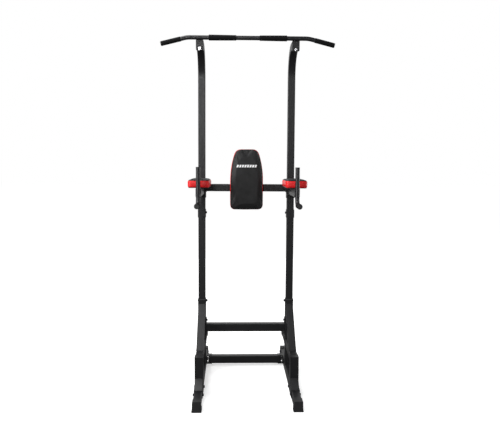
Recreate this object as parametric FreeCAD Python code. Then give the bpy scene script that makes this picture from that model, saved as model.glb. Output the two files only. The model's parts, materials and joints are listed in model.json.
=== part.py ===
import FreeCAD, Part
import math
import os

# A power tower: two side frames on floor tubes, two crossbars, and a telescoping tower with arms,
# a back pad and a pull-up bar. Millimetres, +Z up, the user's side is -Y. The origin is on the floor,
# at the middle of the footprint. One STEP file per sub-part goes to parts/.

V = FreeCAD.Vector

# Overall layout
SIDE_X = 278.0              # centre plane of each side frame
POST_Y = 125.0              # centre plane of the posts and uprights
FOOT_END = 495.0            # reach of the feet from the origin, front and back
SEAT_CLEARANCE = 0.1        # radial gap round a bolt's shank in its hole

# Floor tubes and foot caps
FLOOR_W = 45.0
FLOOR_BOTTOM = 5.0
FLOOR_TOP = 55.0
FRAME_WALL = 2.0
TUBE_CORNER = 4.0
CAP_FOOT_W = 53.0           # the cap narrows from the floor to its top
CAP_TOP_W = 48.0
CAP_TOP = 60.0
CAP_LENGTH = 48.0
CAP_WALL = 3.0
CAP_LIP_W = 56.0
CAP_LIP_TOP = 6.0
CAP_LIP_PROUD = 1.5
CAP_SCREW_Z = 25.0
CAP_SCREW_INSET = 22.0

# Posts, rails and braces of a side frame
POST = 50.0
POST_WALL = 1.8
POST_TOP = 482.0
FRONT_POST_FACE_Y = -255.0
FRONT_POST_TOP = 225.0
CAP_PLATE = 2.0
RAIL_W = 45.0
RAIL_BOTTOM = 180.0
RAIL_TOP = 227.0
REAR_RAIL_BOTTOM = 183.0    # the rear rail is as wide as the post
REAR_RAIL_TOP = 233.0
REAR_RAIL_END = 352.0
RAIL_CAP_LENGTH = 32.0
BRACE_W = 45.0
BRACE_DEPTH = 45.0
BRACE_FOOT_Y = -130.0       # where the brace's front face meets the rail

# Shoe that clamps the front post to the floor tube
SHOE_SHEET = 3.0
SHOE_FRONT_Y = -330.0
SHOE_REAR_Y = -180.0
SHOE_SKIRT_Z = 12.0
SHOE_SLOPE_TOP = 102.0
SHOE_BOLT_Z = 30.0
SHOE_BOLTS_Y = (-317.0, -193.0)

# Crossbars
CROSSBAR = 45.0
PLATE = 4.0
FRONT_BAR_BOTTOM = 276.0
FRONT_BAR_H = 50.0
FRONT_PLATE_BOTTOM = 250.0
FRONT_PLATE_TOP = 363.0
FRONT_BOLTS_Z = (263.0, 347.0)
REAR_BAR_Y = 272.5
REAR_BAR_BOTTOM = 16.0
REAR_BAR_H = 50.0
REAR_BAR_HALF = 243.0
REAR_BRACKET_DEPTH = 38.0
REAR_BRACKET_LAP = 24.0
REAR_BOLT_SPACING = 19.0

# Telescoping fit
UPRIGHT = 44.0
UPRIGHT_WALL = 2.0
BUSH_GAP = 0.3
BUSH_FLANGE = 4.0
BUSH_SKIRT = 30.0
LOCK_Z = 474.0
LOCK_SCREW_R = 3.95
LOCK_HOLE_R = 4.0
LOCK_NUT_R = 8.0
LOCK_NUT_THICK = 3.0
LOCK_GAP = 0.3
HOLE_PITCH = 50.0
HOLES_BELOW = 3
HOLES_ABOVE = 2
ADJUST_HOLE_R = 4.6

# Lower and upper uprights
UPRIGHT_FOOT = 190.0
SEAM_Z = 1022.0
COLLAR_BOTTOM = 1008.0
COLLAR_TOP = 1058.0
COLLAR_BOLT_Z = 1038.0
INSERT_WALL = 2.5
INSERT_HALF = 50.0
BEND_START_Z = 1870.0
BEND_R = 162.0
NECK_END_Y = -111.0
NECK_PLATE_W = 42.0
NECK_PLATE_BOTTOM = 1996.0

# Arms
ARM_BAR_BOTTOM = 1172.0
ARM_BRACKET_BOTTOM = 1132.0
ARM_BRACKET_TOP = 1244.0
ARM_PLATE_BOTTOM = 1168.0
ARM_BOLT_Z = 1232.0
ARM_BOLT_SPACING = 19.0
ARM_W = 30.0
ARM_BOTTOM = 1158.0
ARM_TOP = 1208.0
ARM_FRONT_Y = -283.0
GUSSET = 5.0
GUSSET_REACH = 60.0
HANDLE_R = 12.5
HANDLE_WALL = 2.0
HANDLE_Y = -290.0
HANDLE_TOP = 1324.0
HANDLE_BEND_R = 40.0
DIP_Z = 1116.0
DIP_END_Y = -422.0
DIP_GRIP_START_Y = -338.0
GRIP_WALL = 2.5
PLUG_HEAD = 3.0
PLUG_HEAD_R = 13.0
PLUG_DEPTH = 14.0

# Arm pads
PAD_W = 127.0
PAD_FRONT_Y = -260.0
PAD_REAR_Y = 20.0
PAD_TOP = 1260.0
PAD_CORNER = 22.0
PAD_EDGE_R = 10.0
ARM_BOARD = 10.0            # the board is let into the cushion's underside
ARM_BOARD_INSET = 6.0
PAD_SCREWS_Y = (-200.0, -60.0)

# Backrest
BACK_BOTTOM = 1064.0
BACK_SHOULDER = 1245.0      # the sides are straight up to here
BACK_HALF = 101.0
BACK_SIDE_R = 515.0         # the sides' inward curve above the shoulder
BACK_TOP = 1433.0
BACK_TOP_R = 40.0
BACK_LOW_CORNER = 28.0
BACK_FRONT_Y = 5.0
BACK_THICK = 50.0
BACK_EDGE_R = 14.0
BACK_BOARD = 8.0
BACK_BOARD_INSET = 6.0
BACK_MOUNT_HALF = 55.0
BACK_MOUNT_BOTTOM = 1150.0
BACK_MOUNT_TOP = 1246.0
BACK_RIB_X = 32.0
BACK_SCREW_X = 44.0
BACK_SCREWS_Z = (1162.0, 1234.0)

# Pull-up bar
BAR_Y = -128.0
BAR_Z = 2065.0
BAR_BEND_X = 349.0
BAR_END_X = 497.0
BAR_DROP = 37.0
BAR_BEND_R = 150.0
BAR_PLATE = 5.0
BAR_PLATE_CORNER = 12.0
BAR_BOLT_Z = 2005.0
CENTRE_GRIP_IN = 67.0
CENTRE_GRIP_OUT = 225.0
CENTRE_GRIP_R = 15.6
END_GRIP_R = 13.9
END_GRIP_LENGTH = 115.0

# Fasteners
BOLT_R = 4.0
BOLT_FLATS = 13.0
BOLT_HEAD = 5.0
BOLT_FLANGE_R = 8.5
BOLT_FLANGE = 1.5
NUT_H = 5.0
SCREW_R = 3.0
SCREW_HEAD_R = 5.5
SCREW_HEAD = 3.0

# Faces that several pieces share
POST_IN = SIDE_X - POST / 2                  # inner face of the posts
POST_OUT = SIDE_X + POST / 2
UPRIGHT_IN = SIDE_X - UPRIGHT / 2
UPRIGHT_OUT = SIDE_X + UPRIGHT / 2
FLOOR_IN = SIDE_X - FLOOR_W / 2
POST_FRONT = POST_Y - POST / 2
POST_REAR = POST_Y + POST / 2
FRONT_POST_Y = FRONT_POST_FACE_Y + POST / 2
SHOE_TOP = FLOOR_TOP + SHOE_SHEET
BOARD_TOP = ARM_TOP + ARM_BOARD
BACK_REAR = BACK_FRONT_Y + BACK_THICK
BOARD_REAR = BACK_REAR + BACK_BOARD
NECK_Z = BEND_START_Z + BEND_R
PARTS = {}


def save(name, *solids):
    """Keeps one sub-part: a single solid, or a group of separate ones."""
    PARTS[name] = solids[0] if len(solids) == 1 else Part.makeCompound(list(solids))


def mirrored(shape):
    """The same piece on the other side of the tower."""
    return shape.mirror(V(0, 0, 0), V(1, 0, 0))


def save_pair(name, left):
    """Keeps a piece of the left side frame and its mirror image on the right as two sub-parts."""
    save(name + "_left", left)
    save(name + "_right", mirrored(left))


def save_both(name, *lefts):
    """Keeps pieces of the left side and their mirror images together in one sub-part."""
    save(name, *lefts, *[mirrored(left) for left in lefts])


def block(x, y, z, corner=0.0, along="z"):
    """A box between pairs of limits, with its edges along one axis rounded."""
    shape = Part.makeBox(x[1] - x[0], y[1] - y[0], z[1] - z[0], V(x[0], y[0], z[0]))
    if corner:
        index = "xyz".index(along)
        edges = [e for e in shape.Edges if abs(e.tangentAt(e.FirstParameter)[index]) > 0.99]
        shape = shape.makeFillet(corner, edges)
    return shape


def span(centre, size):
    """The limits of a size about its centre."""
    return (centre - size / 2, centre + size / 2)


def box_tube(x, y, z, wall, along, corner=TUBE_CORNER):
    """A rectangular steel tube with rounded corners, open at both ends."""
    outer = block(x, y, z, corner, along)
    limits = [list(x), list(y), list(z)]
    for index, name in enumerate("xyz"):
        if name != along:
            limits[index][0] += wall
            limits[index][1] -= wall
    inner = block(*limits, corner - wall, along)
    return outer.cut(inner)


def rod(start, end, radius):
    """A round bar from one point to another."""
    run = end - start
    return Part.makeCylinder(radius, run.Length, start, run)


def pipe(start, end, radius, bore):
    """A straight round sleeve from one point to another."""
    return rod(start, end, radius).cut(rod(start, end, bore))


def bent_path(points, bend):
    """A path through the points, with a tangent arc at each inner one."""
    edges = []
    start = points[0]
    for before, corner, after in zip(points, points[1:], points[2:]):
        back = (before - corner).normalize()
        ahead = (after - corner).normalize()
        half = back.getAngle(ahead) / 2
        reach = bend / math.tan(half)
        inward = (back + ahead).normalize()
        arc_in = corner + back * reach
        arc_mid = corner + inward * (bend / math.sin(half) - bend)
        arc_out = corner + ahead * reach
        edges.append(Part.LineSegment(start, arc_in).toShape())
        edges.append(Part.Arc(arc_in, arc_mid, arc_out).toShape())
        start = arc_out
    edges.append(Part.LineSegment(start, points[-1]).toShape())
    return Part.Wire(edges)


def bent_rod(points, bend, radius):
    """A round bar along a bent path."""
    circle = Part.Wire([Part.makeCircle(radius, points[0], points[1] - points[0])])
    return bent_path(points, bend).makePipe(Part.Face(circle))


def prism(points, direction):
    """A flat outline pushed along a direction."""
    return Part.Face(Part.makePolygon(points + points[:1])).extrude(direction)


def hexagon(seat, outward, flats, height):
    """A hexagonal prism standing on a seat."""
    outward = V(outward).normalize()
    side = V(0, 1, 0) if abs(outward.x) + abs(outward.z) > 0.5 else V(1, 0, 0)
    radius = flats / math.sqrt(3)
    turn = FreeCAD.Rotation(outward, 60)
    corner = side * radius
    corners = []
    for _ in range(6):
        corners.append(seat + corner)
        corner = turn.multVec(corner)
    return prism(corners, outward * height)


def bolt(seat, outward, shank, radius=BOLT_R):
    """A flanged hexagon bolt whose head stands on the seat and whose shank goes the other way."""
    outward = V(outward).normalize()
    flange = rod(seat, seat + outward * BOLT_FLANGE, BOLT_FLANGE_R)
    head = hexagon(seat + outward * BOLT_FLANGE, outward, BOLT_FLATS, BOLT_HEAD)
    return flange.fuse([head, rod(seat, seat - outward * shank, radius)]).removeSplitter()


def nut(seat, outward):
    """A flanged nut on the far end of a bolt."""
    outward = V(outward).normalize()
    flange = rod(seat, seat + outward * BOLT_FLANGE, BOLT_FLANGE_R)
    body = flange.fuse(hexagon(seat + outward * BOLT_FLANGE, outward, BOLT_FLATS, NUT_H))
    top = seat + outward * (BOLT_FLANGE + NUT_H)
    return body.cut(rod(seat, top, BOLT_R)).removeSplitter()


def screw(seat, outward, shank):
    """A round-headed screw."""
    outward = V(outward).normalize()
    head = rod(seat, seat + outward * SCREW_HEAD, SCREW_HEAD_R)
    return head.fuse(rod(seat, seat - outward * shank, SCREW_R)).removeSplitter()


def drilled(shape, start, end, radius):
    """The shape with a hole for a shank that runs from start to end."""
    return shape.cut(rod(start, end, radius + SEAT_CLEARANCE))


def plug(end, outward):
    """A round end plug pressed into a 25 mm tube."""
    outward = V(outward).normalize()
    head = rod(end, end + outward * PLUG_HEAD, PLUG_HEAD_R)
    stem = rod(end, end - outward * PLUG_DEPTH, HANDLE_R - HANDLE_WALL)
    return head.fuse(stem).removeSplitter()


def make_floor_tube():
    end = FOOT_END - CAP_LIP_PROUD - CAP_WALL
    tube = box_tube(span(-SIDE_X, FLOOR_W), (-end, end), (FLOOR_BOTTOM, FLOOR_TOP), FRAME_WALL, "y")
    outside = -SIDE_X - FLOOR_W
    for y in SHOE_BOLTS_Y:
        tube = drilled(tube, V(outside, y, SHOE_BOLT_Z), V(-FLOOR_IN + 1, y, SHOE_BOLT_Z), BOLT_R)
    for y in span(REAR_BAR_Y, REAR_BOLT_SPACING):
        z = REAR_BAR_BOTTOM + REAR_BAR_H / 2
        tube = drilled(tube, V(-SIDE_X, y, z), V(-FLOOR_IN + 1, y, z), BOLT_R)
    for y in (-FOOT_END + CAP_SCREW_INSET, FOOT_END - CAP_SCREW_INSET):
        tube = drilled(tube, V(-SIDE_X, y, CAP_SCREW_Z), V(-FLOOR_IN + 1, y, CAP_SCREW_Z), SCREW_R)
    save_pair("floor_tube", tube)


def cap_half(z):
    """Half the width of a foot cap at a height."""
    return (CAP_FOOT_W + (CAP_TOP_W - CAP_FOOT_W) * z / CAP_TOP) / 2


def make_foot_caps():
    end = FOOT_END - CAP_LIP_PROUD
    outline = []
    for side, z in ((-1, 0), (1, 0), (1, CAP_TOP), (-1, CAP_TOP)):
        outline.append(V(-SIDE_X + side * cap_half(z), -end, z))
    body = prism(outline, V(0, CAP_LENGTH, 0))
    long_edges = [e for e in body.Edges if abs(e.tangentAt(e.FirstParameter).y) > 0.99]
    body = body.makeFillet(TUBE_CORNER, [e for e in long_edges if e.CenterOfMass.z > CAP_TOP / 2])
    lip_y = (-FOOT_END, -end + CAP_LENGTH + CAP_LIP_PROUD)
    foot = block(span(-SIDE_X, CAP_LIP_W), lip_y, (0, CAP_LIP_TOP), TUBE_CORNER, "z")
    pocket = block(span(-SIDE_X, FLOOR_W), (-end + CAP_WALL, 0), (FLOOR_BOTTOM, FLOOR_TOP), TUBE_CORNER, "y")
    seat_half = cap_half(CAP_SCREW_Z - SCREW_HEAD_R)
    seat = V(-SIDE_X + seat_half, -FOOT_END + CAP_SCREW_INSET, CAP_SCREW_Z)
    cap = drilled(body.fuse(foot).cut(pocket), seat - V(seat_half, 0, 0), seat + V(1, 0, 0), SCREW_R)
    front_screw = screw(seat, V(1, 0, 0), seat_half - FLOOR_W / 2 + FRAME_WALL)
    save_both("foot_caps_front", cap)
    save_both("foot_caps_rear", cap.mirror(V(0, 0, 0), V(0, 1, 0)))
    save_both("foot_cap_screws", front_screw, front_screw.mirror(V(0, 0, 0), V(0, 1, 0)))


def make_main_post():
    post = box_tube(span(-SIDE_X, POST), span(POST_Y, POST), (FLOOR_TOP, POST_TOP), POST_WALL, "z")
    for z in FRONT_BOLTS_Z:
        post = drilled(post, V(-SIDE_X, POST_Y, z), V(-POST_IN + 1, POST_Y, z), BOLT_R)
    lock = V(-SIDE_X, POST_Y, LOCK_Z)
    post = post.cut(rod(lock, lock + V(POST, 0, 0), LOCK_HOLE_R))
    post = drilled(post, lock, lock - V(POST, 0, 0), SCREW_R)
    save_pair("main_post", post)


def make_sleeve_bushes():
    bore = UPRIGHT + 2 * BUSH_GAP
    opening = block(span(-SIDE_X, bore), span(POST_Y, bore), (0, POST_TOP + POST), TUBE_CORNER, "z")
    skirt_size = POST - 2 * POST_WALL
    skirt_z = (POST_TOP - BUSH_SKIRT, POST_TOP)
    skirt_corner = TUBE_CORNER - POST_WALL
    skirt = block(span(-SIDE_X, skirt_size), span(POST_Y, skirt_size), skirt_z, skirt_corner, "z")
    rim_z = (POST_TOP, POST_TOP + BUSH_FLANGE)
    rim = block(span(-SIDE_X, POST), span(POST_Y, POST), rim_z, TUBE_CORNER, "z")
    bush = skirt.fuse(rim).cut(opening)
    lock = V(-SIDE_X, POST_Y, LOCK_Z)
    bush = bush.cut(rod(lock, lock + V(POST, 0, 0), LOCK_HOLE_R))
    bush = drilled(bush, lock, lock - V(POST, 0, 0), SCREW_R)
    save_both("sleeve_bushes", bush)
    grip = (POST - bore) / 2
    save_both("bush_screws", screw(V(-POST_OUT, POST_Y, LOCK_Z), V(-1, 0, 0), grip))


def make_lock_screws():
    seat = V(-POST_IN, POST_Y, LOCK_Z)
    inward = V(1, 0, 0)
    boss = pipe(seat, seat + inward * LOCK_NUT_THICK, LOCK_NUT_R, LOCK_HOLE_R)
    save_both("lock_nuts", boss)
    under_head = seat + inward * (LOCK_NUT_THICK + LOCK_GAP)
    shank = LOCK_NUT_THICK + LOCK_GAP + (POST - UPRIGHT) / 2 - LOCK_GAP
    save_pair("lock_screw", bolt(under_head, inward, shank, LOCK_SCREW_R))


def make_front_post():
    y = span(FRONT_POST_Y, POST)
    save_pair("front_post", box_tube(span(-SIDE_X, POST), y, (SHOE_TOP, FRONT_POST_TOP), FRAME_WALL, "z"))
    top = (FRONT_POST_TOP, FRONT_POST_TOP + CAP_PLATE)
    save_both("front_post_tops", block(span(-SIDE_X, POST), y, top, TUBE_CORNER, "z"))


def make_rails():
    front_y = (FRONT_POST_Y + POST / 2, POST_FRONT)
    front = box_tube(span(-SIDE_X, RAIL_W), front_y, (RAIL_BOTTOM, RAIL_TOP), FRAME_WALL, "y")
    save_both("front_rails", front)
    rear_x = span(-SIDE_X, POST)
    rear_z = (REAR_RAIL_BOTTOM, REAR_RAIL_TOP)
    save_both("rear_rails", box_tube(rear_x, (POST_REAR, REAR_RAIL_END), rear_z, FRAME_WALL, "y"))
    cap_x = span(-SIDE_X, POST + 2 * CAP_WALL)
    cap_y = (REAR_RAIL_END + CAP_WALL - RAIL_CAP_LENGTH, REAR_RAIL_END + CAP_WALL)
    cap_z = (REAR_RAIL_BOTTOM - CAP_WALL, REAR_RAIL_TOP + CAP_WALL)
    cap = block(cap_x, cap_y, cap_z, TUBE_CORNER + CAP_WALL, "y")
    save_both("rail_caps", cap.cut(block(rear_x, (POST_REAR, REAR_RAIL_END), rear_z, TUBE_CORNER, "y")))


def brace_prism(inset):
    """The brace's four-sided outline at 45 degrees, drawn in by a wall's thickness on its long sides."""
    slant = math.sqrt(2)
    front = BRACE_FOOT_Y + inset * slant
    rear = BRACE_FOOT_Y + (BRACE_DEPTH - inset) * slant
    x = -SIDE_X - BRACE_W / 2 + inset
    outline = [
        V(x, front, RAIL_TOP),
        V(x, rear, RAIL_TOP),
        V(x, POST_FRONT, RAIL_TOP + POST_FRONT - rear),
        V(x, POST_FRONT, RAIL_TOP + POST_FRONT - front),
    ]
    return prism(outline, V(BRACE_W - 2 * inset, 0, 0))


def make_brace():
    save_both("braces", brace_prism(0).cut(brace_prism(FRAME_WALL)))


def make_shoe():
    sheet = SHOE_SHEET
    y = (SHOE_FRONT_Y, SHOE_REAR_Y)
    saddle = block(span(-SIDE_X, FLOOR_W + 2 * sheet), y, (SHOE_SKIRT_Z, SHOE_TOP))
    saddle = saddle.cut(block(span(-SIDE_X, FLOOR_W), y, (0, FLOOR_TOP), TUBE_CORNER, "y"))
    left = -SIDE_X - FLOOR_W / 2
    toe = V(left, SHOE_FRONT_Y + sheet, SHOE_TOP)
    heel = V(left, FRONT_POST_FACE_Y, SHOE_TOP)
    crest = V(left, FRONT_POST_FACE_Y, SHOE_SLOPE_TOP)
    wedge = prism([toe, heel, crest], V(FLOOR_W, 0, 0))
    drop = V(sheet, 0, -sheet * math.sqrt(2))
    hollow = prism([toe + drop, heel + drop, crest + drop], V(FLOOR_W - 2 * sheet, 0, 0))
    above = block(span(-SIDE_X, POST), y, (SHOE_TOP, SHOE_SLOPE_TOP))
    shoe = saddle.fuse(wedge.cut(hollow.common(above)))
    outer = SIDE_X + FLOOR_W / 2 + sheet
    inner = SIDE_X - FLOOR_W / 2 - sheet
    fasteners = []
    for bolt_y in SHOE_BOLTS_Y:
        seat = V(-outer, bolt_y, SHOE_BOLT_Z)
        far = V(-inner, bolt_y, SHOE_BOLT_Z)
        shoe = drilled(shoe, seat - V(1, 0, 0), far + V(1, 0, 0), BOLT_R)
        fasteners.append(bolt(seat, V(-1, 0, 0), outer - inner + BOLT_FLANGE + NUT_H))
        fasteners.append(nut(far, V(1, 0, 0)))
    save_both("post_shoes", shoe.removeSplitter())
    save_both("shoe_fasteners", *fasteners)


def make_front_crossbar():
    end = POST_IN - PLATE
    z = (FRONT_BAR_BOTTOM, FRONT_BAR_BOTTOM + FRONT_BAR_H)
    save("front_crossbar", box_tube((-end, end), span(POST_Y, CROSSBAR), z, FRAME_WALL, "x"))
    plate = block((-POST_IN, -end), span(POST_Y, CROSSBAR), (FRONT_PLATE_BOTTOM, FRONT_PLATE_TOP), 6.0, "x")
    bolts = []
    for bolt_z in FRONT_BOLTS_Z:
        seat = V(-end, POST_Y, bolt_z)
        plate = drilled(plate, seat + V(1, 0, 0), seat - V(PLATE + 1, 0, 0), BOLT_R)
        bolts.append(bolt(seat, V(1, 0, 0), PLATE + POST_WALL))
    save_both("front_crossbar_plates", plate)
    save_both("front_crossbar_bolts", *bolts)


def make_rear_crossbar():
    top = REAR_BAR_BOTTOM + REAR_BAR_H
    middle = REAR_BAR_BOTTOM + REAR_BAR_H / 2
    bar = box_tube((-REAR_BAR_HALF, REAR_BAR_HALF), span(REAR_BAR_Y, CROSSBAR), (REAR_BAR_BOTTOM, top),
                   FRAME_WALL, "x")
    save("rear_crossbar", bar)
    y = span(REAR_BAR_Y, REAR_BRACKET_DEPTH)
    lap = -REAR_BAR_HALF + REAR_BRACKET_LAP
    channel = block((-FLOOR_IN, lap), y, (REAR_BAR_BOTTOM - PLATE, top + PLATE))
    channel = channel.cut(block((-FLOOR_IN + PLATE, lap + 1), y, (REAR_BAR_BOTTOM, top)))
    seat_x = -FLOOR_IN + PLATE
    fasteners = []
    for bolt_y in span(REAR_BAR_Y, REAR_BOLT_SPACING):
        seat = V(seat_x, bolt_y, middle)
        inside = seat - V(PLATE + FRAME_WALL, 0, 0)
        channel = drilled(channel, seat + V(1, 0, 0), inside, BOLT_R)
        fasteners.append(bolt(seat, V(1, 0, 0), PLATE + FRAME_WALL + BOLT_FLANGE + NUT_H))
        fasteners.append(nut(inside, V(-1, 0, 0)))
    save_both("rear_crossbar_brackets", channel)
    save_both("rear_crossbar_fasteners", *fasteners)


def make_lower_upright():
    tube = box_tube(span(-SIDE_X, UPRIGHT), span(POST_Y, UPRIGHT), (UPRIGHT_FOOT, SEAM_Z), UPRIGHT_WALL, "z")
    for step in range(-HOLES_BELOW, HOLES_ABOVE + 1):
        z = LOCK_Z + step * HOLE_PITCH
        tube = tube.cut(rod(V(-UPRIGHT_OUT - 1, POST_Y, z), V(-UPRIGHT_IN + 1, POST_Y, z), ADJUST_HOLE_R))
    save_pair("lower_upright", tube)


def make_coupling():
    """The joint half way up each upright: a collar outside, an insert inside and one bolt."""
    x = span(-SIDE_X, POST)
    y = span(POST_Y, POST)
    collar = block(x, y, (COLLAR_BOTTOM, COLLAR_TOP), TUBE_CORNER, "z")
    bore = block(span(-SIDE_X, UPRIGHT), span(POST_Y, UPRIGHT), (0, COLLAR_TOP + 1), TUBE_CORNER, "z")
    inner = UPRIGHT - 2 * UPRIGHT_WALL
    insert_z = span(SEAM_Z, 2 * INSERT_HALF)
    insert = box_tube(span(-SIDE_X, inner), span(POST_Y, inner), insert_z, INSERT_WALL, "z", INSERT_WALL + 1)
    seat = V(-POST_IN, POST_Y, COLLAR_BOLT_Z)
    collar = drilled(collar.cut(bore), V(-SIDE_X, POST_Y, COLLAR_BOLT_Z), seat + V(1, 0, 0), BOLT_R)
    insert = drilled(insert, V(-SIDE_X, POST_Y, COLLAR_BOLT_Z), seat, BOLT_R)
    save_both("coupling_collars", collar)
    save_both("coupling_inserts", insert)
    grip = (POST - UPRIGHT) / 2 + UPRIGHT_WALL + INSERT_WALL
    save_both("coupling_bolts", bolt(seat, V(1, 0, 0), grip))


def bent_upright(size, corner):
    """A solid bar that rises, turns a quarter circle to the front and ends level."""
    slab = block(span(-SIDE_X, size), span(POST_Y, size), (SEAM_Z, SEAM_Z + 1), corner, "z")
    section = min(slab.Faces, key=lambda face: face.CenterOfMass.z)
    elbow = V(-SIDE_X, POST_Y, NECK_Z)
    route = [V(-SIDE_X, POST_Y, SEAM_Z), elbow, V(-SIDE_X, NECK_END_Y, NECK_Z)]
    return bent_path(route, BEND_R).makePipe(section)


def make_upper_upright():
    outer = bent_upright(UPRIGHT, TUBE_CORNER)
    inner = bent_upright(UPRIGHT - 2 * UPRIGHT_WALL, TUBE_CORNER - UPRIGHT_WALL)
    tube = outer.cut(inner)
    plate_y = (NECK_END_Y - PLATE, NECK_END_Y)
    plate_z = (NECK_PLATE_BOTTOM, NECK_Z + UPRIGHT / 2)
    plate = block(span(-SIDE_X, NECK_PLATE_W), plate_y, plate_z, TUBE_CORNER, "y")
    tube = tube.fuse(plate).removeSplitter()
    bolt_x = V(-SIDE_X, POST_Y, COLLAR_BOLT_Z)
    tube = drilled(tube, bolt_x, bolt_x + V(UPRIGHT, 0, 0), BOLT_R)
    for y in span(POST_Y, ARM_BOLT_SPACING):
        outside = V(-UPRIGHT_OUT - 1, y, ARM_BOLT_Z)
        tube = drilled(tube, outside, V(-UPRIGHT_IN + 1, y, ARM_BOLT_Z), BOLT_R)
    neck_bolt = V(-SIDE_X, NECK_END_Y, BAR_BOLT_Z)
    tube = drilled(tube, neck_bolt, neck_bolt - V(0, PLATE + 1, 0), BOLT_R)
    save_pair("upper_upright", tube)


def make_arm_crossbar():
    end = UPRIGHT_IN - 2 * PLATE
    z = (ARM_BAR_BOTTOM, ARM_BAR_BOTTOM + CROSSBAR)
    save("arm_crossbar", box_tube((-end, end), span(POST_Y, CROSSBAR), z, FRAME_WALL, "x"))
    plate = block((-end - PLATE, -end), span(POST_Y, CROSSBAR), (ARM_PLATE_BOTTOM, ARM_BRACKET_TOP), 6.0, "x")
    outer = UPRIGHT_OUT + PLATE
    fasteners = []
    for bolt_y in span(POST_Y, ARM_BOLT_SPACING):
        seat = V(-end, bolt_y, ARM_BOLT_Z)
        far = V(-outer, bolt_y, ARM_BOLT_Z)
        plate = drilled(plate, seat + V(1, 0, 0), seat - V(PLATE + 1, 0, 0), BOLT_R)
        fasteners.append(bolt(seat, V(1, 0, 0), outer - end + BOLT_FLANGE + NUT_H))
        fasteners.append(nut(far, V(-1, 0, 0)))
    save_both("arm_crossbar_plates", plate)
    save_both("arm_fasteners", *fasteners)


def make_arm_bracket():
    """A channel that wraps the upright from the front, with a curved web under the arm."""
    x = span(-SIDE_X, UPRIGHT + 2 * PLATE)
    web_y = POST_Y - UPRIGHT / 2 - PLATE
    channel = block(x, (web_y, POST_Y + UPRIGHT / 2), (ARM_BRACKET_BOTTOM, ARM_BRACKET_TOP), TUBE_CORNER, "z")
    core = block(span(-SIDE_X, UPRIGHT), (web_y + PLATE, POST_Y + POST), (0, ARM_BRACKET_TOP + 1))
    channel = channel.cut(core)
    left = -SIDE_X - GUSSET / 2
    under = block((left, left + GUSSET), (web_y - GUSSET_REACH, web_y), (ARM_BRACKET_BOTTOM, ARM_BOTTOM))
    web_h = ARM_BOTTOM - ARM_BRACKET_BOTTOM
    sweep = (GUSSET_REACH ** 2 + web_h ** 2) / (2 * web_h)
    hollow = Part.makeCylinder(sweep, GUSSET, V(left, web_y - GUSSET_REACH, ARM_BOTTOM - sweep), V(1, 0, 0))
    bracket = channel.fuse(under.cut(hollow)).removeSplitter()
    for bolt_y in span(POST_Y, ARM_BOLT_SPACING):
        start = V(-UPRIGHT_OUT - PLATE - 1, bolt_y, ARM_BOLT_Z)
        bracket = drilled(bracket, start, V(-UPRIGHT_IN + PLATE + 1, bolt_y, ARM_BOLT_Z), BOLT_R)
    save_pair("arm_bracket", bracket)


def handle_points(end_y):
    """The handle's route: down in front of the pad, then forward as the dip handle."""
    return [V(-SIDE_X, HANDLE_Y, HANDLE_TOP), V(-SIDE_X, HANDLE_Y, DIP_Z), V(-SIDE_X, end_y, DIP_Z)]


def make_arm():
    web_y = POST_Y - UPRIGHT / 2 - PLATE
    arm = box_tube(span(-SIDE_X, ARM_W), (ARM_FRONT_Y, web_y), (ARM_BOTTOM, ARM_TOP), FRAME_WALL, "y")
    outer = bent_rod(handle_points(DIP_END_Y), HANDLE_BEND_R, HANDLE_R)
    bore = bent_rod(handle_points(DIP_END_Y), HANDLE_BEND_R, HANDLE_R - HANDLE_WALL)
    screws = []
    for y in PAD_SCREWS_Y:
        seat = V(-SIDE_X, y, ARM_TOP - FRAME_WALL)
        arm = drilled(arm, seat, seat + V(0, 0, FRAME_WALL + 1), SCREW_R)
        screws.append(screw(seat, V(0, 0, -1), FRAME_WALL + ARM_BOARD))
    save_pair("arm_tube", arm.cut(outer))
    save_pair("handle", outer.cut(bore))
    save_both("arm_pad_screws", *screws)
    grip_end = V(-SIDE_X, DIP_END_Y, DIP_Z)
    grip = pipe(V(-SIDE_X, DIP_GRIP_START_Y, DIP_Z), grip_end, HANDLE_R + GRIP_WALL, HANDLE_R)
    save_both("dip_grips", grip)
    top_plug = plug(V(-SIDE_X, HANDLE_Y, HANDLE_TOP), V(0, 0, 1))
    save_both("handle_plugs", top_plug, plug(grip_end, V(0, -1, 0)))


def make_arm_pads():
    x = span(-SIDE_X, PAD_W)
    pad = block(x, (PAD_FRONT_Y, PAD_REAR_Y), (ARM_TOP, PAD_TOP), PAD_CORNER, "z")
    top_edges = [e for e in pad.Edges if e.CenterOfMass.z > PAD_TOP - 0.01]
    pad = pad.makeFillet(PAD_EDGE_R, top_edges)
    inset = ARM_BOARD_INSET
    board_y = (PAD_FRONT_Y + inset, PAD_REAR_Y - inset)
    board = block(span(-SIDE_X, PAD_W - 2 * inset), board_y, (ARM_TOP, BOARD_TOP), PAD_CORNER - inset, "z")
    save_pair("arm_pad", pad.cut(board))
    for y in PAD_SCREWS_Y:
        board = drilled(board, V(-SIDE_X, y, ARM_TOP - 1), V(-SIDE_X, y, BOARD_TOP + 1), SCREW_R)
    save_both("arm_boards", board)


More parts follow.
